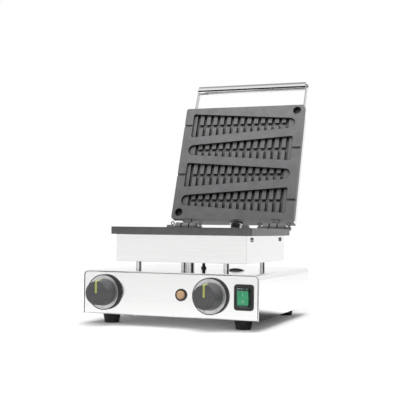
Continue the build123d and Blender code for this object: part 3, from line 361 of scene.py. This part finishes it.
steel = brushed_steel("stainless_sheet", sheet_tone, sheet_roughness)
# Painted shade: a copy of the sheet steel, darkened on the lid's hinge side
shaded_lid_steel = brushed_steel("lid_sheet_painted_shade", sheet_tone, sheet_roughness)
paint_hinge_side_shade(shaded_lid_steel)
arm_steel = brushed_steel("arm_strip", (0.60, 0.60, 0.60), 0.16)
handle_steel = brushed_steel("polished_tube", (0.80, 0.80, 0.80), 0.07, tube_grain_depth)
chrome = grained("chrome", (0.62, 0.62, 0.63), 0.08, 900.0, 0.000001, 1.0, 0.03)
zinc = grained("zinc_plate", (0.60, 0.60, 0.58), 0.30, 1400.0, 0.000006, 1.0, 0.08)
cast = plate_coating("plate_coating", (0.120, 0.121, 0.124), 0.42)
rubber = grained("rubber", (0.016, 0.016, 0.016), 0.62, 2200.0, 0.00003, 0.0, 0.2)
black_plastic = grained("black_plastic", (0.014, 0.014, 0.015), 0.30, 2600.0, 0.00001)
bezel_plastic = grained(
    "bezel_plastic", (0.010, 0.010, 0.010), 0.55, 2600.0, 0.00001, Specular_IOR_Level=0.25
)
knob_plastic = grained("knob_plastic", (0.095, 0.096, 0.10), 0.38, 2600.0, 0.000016)
pointer_plastic = grained("pointer_plastic", (0.60, 0.64, 0.17), 0.36, 2000.0, 0.000008)
scale_metal = grained("scale_foil", (0.52, 0.52, 0.52), 0.26, 1600.0, 0.000003, 1.0, 0.06)
print_ink = grained("print_ink", (0.03, 0.03, 0.03), 0.55, 2000.0, 0.000004)
dark_chrome = grained("dark_chrome", (0.06, 0.056, 0.054), 0.14, 900.0, 0.000002, 1.0, 0.10)
pin_steel = grained("pin_steel", (0.34, 0.34, 0.34), 0.22, 900.0, 0.000004, 1.0, 0.10)
plug_rubber = grained("plug_rubber", (0.28, 0.28, 0.28), 0.25, 1600.0, 0.00001, 0.0, 0.10)
amber = grained(
    "amber_lens", (0.84, 0.50, 0.27), 0.20, 700.0, 0.00012, 0.0, 0.28, Coat_Weight=0.6
)
clear_boot = grained(
    "clear_boot", (0.55, 0.80, 0.70), 0.07, 900.0, 0.000010, 0.0, 0.04,
    Transmission_Weight=1.0, IOR=1.40,
)
rocker_green = grained(
    "rocker_green", (0.035, 0.50, 0.25), 0.26, 1200.0, 0.00001, 0.0, 0.08, Coat_Weight=0.4
)
mark_white = grained("mark_white", (0.70, 0.86, 0.76), 0.40, 1500.0, 0.000004)
heater_steel = grained("heater_sheath", (0.22, 0.20, 0.18), 0.42, 700.0, 0.00002, 1.0, 0.3)
wool = grained("mineral_wool", (0.62, 0.56, 0.36), 0.95, 800.0, 0.0009, 0.0, 0.2)
ceramic = grained("ceramic", (0.78, 0.76, 0.70), 0.38, 900.0, 0.00001, 0.0, 0.05)
copper = grained("copper", (0.72, 0.40, 0.26), 0.28, 900.0, 0.000006, 1.0, 0.14)
braid = grained("glass_braid", (0.40, 0.385, 0.36), 0.70, 2400.0, 0.00004, 0.0, 0.18)
# Painted shade: the flat dark colour that stands for the screws' cross recesses
painted_recess_shade = grained("painted_recess_shade", (0.07, 0.07, 0.07), 0.50, 1500.0, 0.000006, 0.8)

node_materials = {
    steel: ("base_cover", "front_panel", "rear_panel", "bottom_plate", "lower_housing"),
    shaded_lid_steel: ("lid_housing",),
    arm_steel: ("handle_arms",),
    handle_steel: ("handle_grip",),
    chrome: ("support_pillars", "wire_sleeve"),
    pin_steel: ("hinge_pins", "split_pins"),
    plug_rubber: ("vent_plug",),
    zinc: (
        "bottom_screws", "foot_screws", "pillar_screws", "pillar_nuts", "lower_housing_screws",
        "lid_housing_screws", "lower_heater_clamp", "lid_heater_clamp", "lower_clamp_screw",
        "lid_clamp_screw", "handle_screws", "timer_shaft", "thermostat_shaft", "timer_body",
        "thermostat_body", "control_nuts", "lower_lead_gland", "lid_lead_gland",
    ),
    cast: ("lower_plate", "lid_plate"),
    rubber: ("rubber_feet",),
    black_plastic: (
        "probe_sleeve", "probe_nut", "lamp_body", "switch_frame", "switch_body", "mains_gland",
    ),
    bezel_plastic: ("timer_bezel", "thermostat_bezel"),
    knob_plastic: ("timer_knob", "thermostat_knob"),
    pointer_plastic: ("timer_pointer", "thermostat_pointer"),
    scale_metal: ("timer_scale", "thermostat_scale"),
    dark_chrome: ("lamp_bezel",),
    amber: ("lamp_lens",),
    clear_boot: ("switch_boot",),
    rocker_green: ("rocker",),
    heater_steel: ("lower_heater", "lid_heater"),
    wool: ("lower_insulation", "lid_insulation"),
    braid: ("housing_lead",),
    ceramic: ("terminal_block",),
    copper: ("thermostat_bulb", "capillary_tube"),
}
for surface, names in node_materials.items():
    for name in names:
        nodes[name].data.materials.clear()
        nodes[name].data.materials.append(surface)


# Pieces

def piece(name, mesh, surface, body):
    """A new object from a bmesh, which rides on a body if one is named."""
    data = bpy.data.meshes.new(name)
    mesh.to_mesh(data)
    mesh.free()
    made = bpy.data.objects.new(name, data)
    data.materials.append(surface)
    bpy.context.scene.collection.objects.link(made)
    if body:
        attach(made, body)
    return made


def add_box(mesh, size, place):
    """Adds a box of a size, centred in its own frame, to a mesh."""
    corners = bmesh.ops.create_cube(mesh, size=1.0)["verts"]
    bmesh.ops.transform(mesh, matrix=place @ Matrix.Diagonal((*size, 1.0)), verts=corners)


def add_text(mesh, words, size, place):
    """Adds flat raised lettering, centred in its own frame, to a mesh."""
    curve = bpy.data.curves.new("lettering", "FONT")
    curve.body = words
    curve.size = size
    curve.extrude = print_height / 2
    curve.align_x = "CENTER"
    curve.align_y = "CENTER"
    holder = bpy.data.objects.new("lettering", curve)
    data = bpy.data.meshes.new_from_object(holder)
    data.transform(place)
    mesh.from_mesh(data)
    bpy.data.objects.remove(holder)
    bpy.data.curves.remove(curve)
    bpy.data.meshes.remove(data)


# The front's own frame: x to the right, y up, z towards the viewer
facing = Matrix.Rotation(math.radians(90), 4, "X")


def dial_marks(control, numbers, ticks):
    """The ticks and numbers printed on one scale."""
    low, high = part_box(control + "_scale")
    centre = Vector(((low.x + high.x) / 2, low.y, (low.z + high.z) / 2))
    mesh = bmesh.new()
    for number in range(ticks + 1):
        turn = -math.radians(dial_sweep * number / ticks)
        major = number % (ticks // (len(numbers) - 1)) == 0
        length = tick_long if major else tick_short
        place = Matrix.Translation(centre) @ facing @ Matrix.Rotation(turn, 4, "Z")
        middle = Matrix.Translation((0, tick_outer - length / 2, 0))
        add_box(mesh, (tick_width, length, print_height), place @ middle)
    for number, words in enumerate(numbers):
        turn = -math.radians(dial_sweep * number / (len(numbers) - 1))
        place = Matrix.Translation(centre) @ facing @ Matrix.Rotation(turn, 4, "Z")
        add_text(mesh, words, number_size, place @ Matrix.Translation((0, number_radius, 0)))
    return piece(control + "_marks", mesh, print_ink, "base")


dial_marks("timer", timer_numbers, timer_ticks)
dial_marks("thermostat", thermostat_numbers, thermostat_ticks)


def rocker_marks():
    """The bar on the rocker's upper half and the ring on its lower half."""
    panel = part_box("base_cover")[0].y
    low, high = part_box("rocker")
    middle_x = (low.x + high.x) / 2
    middle_z = (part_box("switch_frame")[0].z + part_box("switch_frame")[1].z) / 2
    drop = rocker_half * math.sin(rocker_tilt)
    lean = math.atan2(drop, rocker_half)
    mesh = bmesh.new()
    for side in (1, -1):
        up = side * rocker_half / 2
        out = rocker_reach - drop / 2
        out_turned = out * math.cos(rocker_tilt) + up * math.sin(rocker_tilt)
        up_turned = up * math.cos(rocker_tilt) - out * math.sin(rocker_tilt)
        centre = Vector((middle_x, panel - out_turned, middle_z + up_turned))
        turn = Matrix.Rotation(rocker_tilt + side * lean, 4, "X")
        place = Matrix.Translation(centre) @ turn @ facing
        if side > 0:
            add_box(mesh, (*mark_bar, mark_height), place)
            continue
        outer_radius, bar = mark_ring
        ring, inner = (
            bmesh.ops.create_circle(mesh, segments=mark_segments, radius=radius)["verts"]
            for radius in (outer_radius, outer_radius - 2 * bar)
        )
        edges = {edge for vert in ring + inner for edge in vert.link_edges}
        faces = bmesh.ops.bridge_loops(mesh, edges=list(edges))["faces"]
        grown = bmesh.ops.extrude_face_region(mesh, geom=faces)["geom"]
        top = [part for part in grown if isinstance(part, bmesh.types.BMVert)]
        bmesh.ops.translate(mesh, verts=top, vec=(0, 0, mark_height))
        bmesh.ops.translate(mesh, verts=ring + inner + top, vec=(0, 0, -mark_height / 2))
        bmesh.ops.transform(mesh, matrix=place, verts=ring + inner + top)
    bmesh.ops.recalc_face_normals(mesh, faces=mesh.faces)
    return piece("rocker_marks", mesh, mark_white, "rocker_switch")


rocker_marks()


def loose_parts(node):
    """The boxes of a node's separate solids, as (lowest, highest) corners."""
    mesh = bmesh.new()
    mesh.from_mesh(nodes[node].data)
    bmesh.ops.remove_doubles(mesh, verts=mesh.verts, dist=same_point)
    known = set()
    boxes = []
    for first in mesh.verts:
        if first in known:
            continue
        known.add(first)
        reached = [first]
        for vert in reached:
            for edge in vert.link_edges:
                other = edge.other_vert(vert)
                if other not in known:
                    known.add(other)
                    reached.append(other)
        lines = list(zip(*(vert.co for vert in reached)))
        boxes.append((Vector([min(line) for line in lines]), Vector([max(line) for line in lines])))
    mesh.free()
    return boxes


def side_crosses(node, body, turn):
    """A dark flat cross in each round head on the left and right walls, painted shade for its
    recess.
    """
    mesh = bmesh.new()
    for low, high in loose_parts(node):
        middle = (low + high) / 2
        side = 1 if middle.x > 0 else -1
        outer = high.x if side > 0 else low.x
        place = Matrix.Translation((outer, middle.y, middle.z)) @ Matrix.Rotation(turn, 4, "X")
        add_box(mesh, (cross_depth, cross_length, cross_width), place)
        add_box(mesh, (cross_depth, cross_width, cross_length), place)
    return piece(node + "_crosses", mesh, painted_recess_shade, body)


for screws, body, turn in side_screws:
    side_crosses(screws, body, math.radians(turn))


# Lead between the housings: a core with a woven sleeve, bent from the base to the lid

def lead_line():
    """Points along the lead's own smooth line, from the lower gland to the lid's gland."""
    curve = bpy.data.curves.new("lead_line", "CURVE")
    curve.dimensions = "3D"
    curve.resolution_u = line_steps
    spline = curve.splines.new("NURBS")
    spline.points.add(len(lead_route) - 1)
    for point, place in zip(spline.points, lead_route):
        point.co = (*place, 1.0)
    spline.order_u = 3
    spline.use_endpoint_u = True
    holder = bpy.data.objects.new("lead_line", curve)
    data = bpy.data.meshes.new_from_object(holder)
    places = [vert.co.copy() for vert in data.vertices]
    bpy.data.objects.remove(holder)
    bpy.data.curves.remove(curve)
    bpy.data.meshes.remove(data)
    return places


def frames_along(places):
    """Each point of a line, its distance along the line, and two steady cross directions there."""
    side = None
    walked = 0.0
    frames = []
    for number, place in enumerate(places):
        after = places[min(number + 1, len(places) - 1)]
        before = places[max(number - 1, 0)]
        ahead = (after - before).normalized()
        if side is None:
            side = ahead.cross(Vector((0.0, 0.0, 1.0))).normalized()
        side = (side - ahead * side.dot(ahead)).normalized()
        walked += (place - before).length if number else 0.0
        frames.append((place, walked, side, ahead.cross(side)))
    return frames


def add_tube(mesh, centres, crossways, radius, segments):
    """Adds a closed tube round a line of centres to a mesh."""
    rings = []
    for centre, (side, up) in zip(centres, crossways):
        ring = []
        for part in range(segments):
            turn = 2 * math.pi * part / segments
            out = side * math.cos(turn) + up * math.sin(turn)
            ring.append(mesh.verts.new(centre + out * radius))
        rings.append(ring)
    for first, second in zip(rings, rings[1:]):
        for part in range(segments):
            after = (part + 1) % segments
            mesh.faces.new((first[part], first[after], second[after], second[part]))
    mesh.faces.new(list(reversed(rings[0])))
    mesh.faces.new(rings[-1])


def housing_lead():
    """The lead's core and the strands that wind both ways round it."""
    places = lead_line()
    frames = frames_along(places)
    crossways = [(side, up) for _, _, side, up in frames]
    mesh = bmesh.new()
    add_tube(mesh, places, crossways, lead_radius - 2 * strand_radius, core_sides)
    for way in (1, -1):
        for strand in range(strand_count):
            start = 2 * math.pi * strand / strand_count
            centres = []
            for place, walked, side, up in frames:
                turn = start + way * 2 * math.pi * walked / strand_pitch
                wave = math.sin(strand_count * turn / 2) * strand_radius * strand_wave * way
                reach = lead_radius - strand_sink * strand_radius + wave
                centres.append(place + (side * math.cos(turn) + up * math.sin(turn)) * reach)
            add_tube(mesh, centres, crossways, strand_radius, strand_sides)
    bmesh.ops.recalc_face_normals(mesh, faces=mesh.faces)
    made = piece("woven_lead", mesh, braid, None)
    for face in made.data.polygons:
        face.use_smooth = True
    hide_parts("housing_lead")
    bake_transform(made)


housing_lead()


# Floor, light and camera

def room_tone(tree, toward):
    """How bright the room is in a direction, for what metal mirrors."""
    room = 1.0
    for middle, tone, start, end in dark_zones:
        zone = fade(tree, nearness(tree, toward, middle), start, end, 1.0, tone)
        room = math_node(tree, "MULTIPLY", zone, room)
    return room


def floor():
    """A wide floor that keeps the object's shadow: white to see, and dimmer in what it lights."""
    mesh = bmesh.new()
    bmesh.ops.create_grid(mesh, x_segments=1, y_segments=1, size=floor_half)
    made, tree, shader = material("floor_paper", (floor_colour,) * 3, 0.9, Specular_IOR_Level=0.0)
    shader.inputs["Emission Color"].default_value = (1.0, 1.0, 1.0, 1.0)
    path = tree.nodes.new("ShaderNodeLightPath").outputs
    either = math_node(tree, "MAXIMUM", path["Is Camera Ray"], path["Is Glossy Ray"])
    seen = math_node(tree, "MAXIMUM", either, path["Is Transmission Ray"])
    place = tree.nodes.new("ShaderNodeTexCoord").outputs["Object"]
    toward = tree.nodes.new("ShaderNodeVectorMath")
    toward.operation = "NORMALIZE"
    tree.links.new(place, toward.inputs[0])
    room = room_tone(tree, toward.outputs["Vector"])
    lost = math_node(tree, "SUBTRACT", 1.0, room)
    shade = math_node(tree, "MULTIPLY", path["Is Glossy Ray"], lost)
    kept = math_node(tree, "SUBTRACT", 1.0, shade)
    tone = fade(tree, seen, 0.0, 1.0, floor_bounce, floor_colour)
    tree.links.new(math_node(tree, "MULTIPLY", tone, kept), shader.inputs["Base Color"])
    glow = math_node(tree, "MULTIPLY", seen, floor_glow)
    tree.links.new(math_node(tree, "MULTIPLY", glow, kept), shader.inputs["Emission Strength"])
    piece("floor", mesh, made, None)


def lamp(name, kind, source, power):
    """A new lamp that shines from a place and isn't mirrored itself."""
    data = bpy.data.lights.new(name, kind)
    data.energy = power
    made = bpy.data.objects.new(name, data)
    made.location = source
    made.visible_glossy = False
    bpy.context.scene.collection.objects.link(made)
    return made, data


def sun(name, source, power, angle):
    """A wide sun that shines from a direction."""
    made, data = lamp(name, "SUN", source, power)
    data.angle = math.radians(angle)
    made.rotation_euler = (-Vector(source)).to_track_quat("-Z", "Y").to_euler()


def softbox(name, source, aim, size, power):
    """A rectangular lamp that points at a place."""
    made, data = lamp(name, "AREA", source, power)
    data.shape = "RECTANGLE"
    data.size, data.size_y = size
    made.rotation_euler = (Vector(aim) - Vector(source)).to_track_quat("-Z", "Y").to_euler()


def world():
    """A plain room: white to see, zoned for what metal mirrors, and dim for what it lights."""
    made = bpy.data.worlds.new("studio")
    made.use_nodes = True
    tree = made.node_tree
    background = tree.nodes["Background"]
    background.inputs["Color"].default_value = (1.0, 1.0, 1.0, 1.0)
    path = tree.nodes.new("ShaderNodeLightPath").outputs
    toward = tree.nodes.new("ShaderNodeTexCoord").outputs["Generated"]
    room = room_tone(tree, toward)
    seen = math_node(tree, "MAXIMUM", path["Is Camera Ray"], path["Is Transmission Ray"])
    mirrored = math_node(tree, "MULTIPLY", room, path["Is Glossy Ray"])
    bright = math_node(tree, "MAXIMUM", seen, mirrored)
    direct = math_node(tree, "MAXIMUM", path["Is Glossy Ray"], seen)
    diffuse = math_node(tree, "SUBTRACT", 1.0, direct)
    dim = math_node(tree, "MULTIPLY", diffuse, world_diffuse)
    strength = math_node(tree, "ADD", bright, dim)
    tree.links.new(strength, background.inputs["Strength"])
    bpy.context.scene.world = made


def flag():
    """A dark card that only gloss mirrors, as a studio sets up for polished metal."""
    mesh = bmesh.new()
    left, right = flag_x
    low, high = flag_z
    corners = ((left, low), (right, low), (right, high), (left, high))
    mesh.faces.new([mesh.verts.new((x, flag_y, z)) for x, z in corners])
    surface, _, _ = material("flag_cloth", (flag_tone,) * 3, 1.0, Specular_IOR_Level=0.0)
    made = piece("flag", mesh, surface, None)
    made.visible_camera = False
    made.visible_diffuse = False
    made.visible_shadow = False
    made.visible_transmission = False


def camera():
    """The camera at the photograph's place and angle."""
    turn, rise, roll = (math.radians(a) for a in (camera_turn, camera_rise, camera_roll))
    level = Vector((-math.sin(turn), math.cos(turn), 0.0))
    ahead = level * math.cos(rise) + Vector((0.0, 0.0, math.sin(rise)))
    right = Vector((math.cos(turn), math.sin(turn), 0.0))
    up = right.cross(ahead)
    rolled_right = right * math.cos(roll) - up * math.sin(roll)
    rolled_up = right * math.sin(roll) + up * math.cos(roll)
    lens = bpy.data.cameras.new("camera")
    lens.lens = camera_lens
    lens.sensor_width = camera_sensor
    made = bpy.data.objects.new("camera", lens)
    place = Matrix((rolled_right, rolled_up, -ahead)).transposed().to_4x4()
    place.translation = camera_place
    made.matrix_world = place
    bpy.context.scene.collection.objects.link(made)
    bpy.context.scene.camera = made


floor()
flag()
sun("top_sun", *top_sun)
sun("front_sun", *front_sun)
softbox("lid_lamp", *lid_lamp)
softbox("right_lamp", *right_lamp)
world()
camera()
bpy.context.scene.view_settings.view_transform = "Standard"
